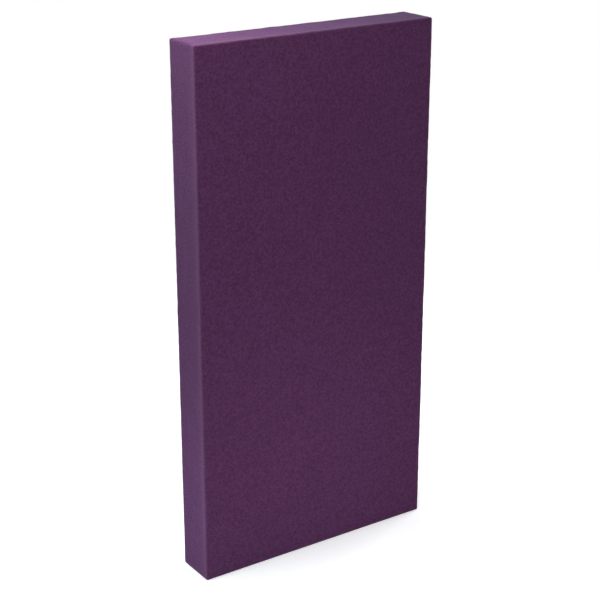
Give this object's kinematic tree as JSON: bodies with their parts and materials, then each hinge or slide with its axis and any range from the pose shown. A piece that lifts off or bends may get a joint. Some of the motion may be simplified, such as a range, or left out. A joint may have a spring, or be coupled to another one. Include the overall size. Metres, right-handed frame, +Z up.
{
  "type": "acoustic foam panel",
  "caption": "Upright rectangular acoustic foam panel wrapped in felted cloth over a timber frame, with D-ring hangers behind for hanging it on a wall to absorb sound.",
  "frame": {"origin": "centre of the panel's underside, on the surface that it stands on", "axes": "+Z up along the panel's height, +X across its width with the viewer in front looking along +Y, +Y from its front face towards the wall"},
  "size_m": [0.6, 0.1, 1.2],
  "materials": {
    "cover_cloth": "matt plum felted acoustic cloth with a fine short nap, stretched flat",
    "acoustic_foam": "charcoal open-cell acoustic foam, cut faces, fully matt",
    "frame_timber": "planed pine, unfinished",
    "wood_screws": "yellow zinc plated steel",
    "hanger_steel": "bright zinc plated steel"
  },
  "bodies": {
    "panel": {"fabric_cover": "cover_cloth", "foam_core": "acoustic_foam", "frame_left_stile": "frame_timber", "frame_right_stile": "frame_timber", "frame_top_rail": "frame_timber", "frame_bottom_rail": "frame_timber", "upper_slat": "frame_timber", "middle_slat": "frame_timber", "lower_slat": "frame_timber", "corner_block_top_left": "frame_timber", "corner_block_top_right": "frame_timber", "corner_block_bottom_left": "frame_timber", "corner_block_bottom_right": "frame_timber", "corner_screw_top_left_front": "wood_screws", "corner_screw_top_left_back": "wood_screws", "corner_screw_top_right_front": "wood_screws", "corner_screw_top_right_back": "wood_screws", "corner_screw_bottom_left_front": "wood_screws", "corner_screw_bottom_left_back": "wood_screws", "corner_screw_bottom_right_front": "wood_screws", "corner_screw_bottom_right_back": "wood_screws", "slat_screw_upper_left_high": "wood_screws", "slat_screw_upper_left_low": "wood_screws", "slat_screw_upper_right_high": "wood_screws", "slat_screw_upper_right_low": "wood_screws", "slat_screw_middle_left_high": "wood_screws", "slat_screw_middle_left_low": "wood_screws", "slat_screw_middle_right_high": "wood_screws", "slat_screw_middle_right_low": "wood_screws", "slat_screw_lower_left_high": "wood_screws", "slat_screw_lower_left_low": "wood_screws", "slat_screw_lower_right_high": "wood_screws", "slat_screw_lower_right_low": "wood_screws", "hanger_strap_left": "hanger_steel", "hanger_strap_right": "hanger_steel", "hanger_screw_left_high": "hanger_steel", "hanger_screw_left_low": "hanger_steel", "hanger_screw_right_high": "hanger_steel", "hanger_screw_right_low": "hanger_steel"},
    "left_ring": {"hanger_ring_left": "hanger_steel"},
    "right_ring": {"hanger_ring_right": "hanger_steel"}
  },
  "joints": [
    {"name": "left_ring_swing", "type": "hinge", "parent": "panel", "child": "left_ring", "pos_m": [-0.2, 0.0429, 1.0683], "axis": [1, 0, 0], "range_deg": [0, 180]},
    {"name": "right_ring_swing", "type": "hinge", "parent": "panel", "child": "right_ring", "pos_m": [0.2, 0.0429, 1.0683], "axis": [1, 0, 0], "range_deg": [0, 180]}
  ]
}
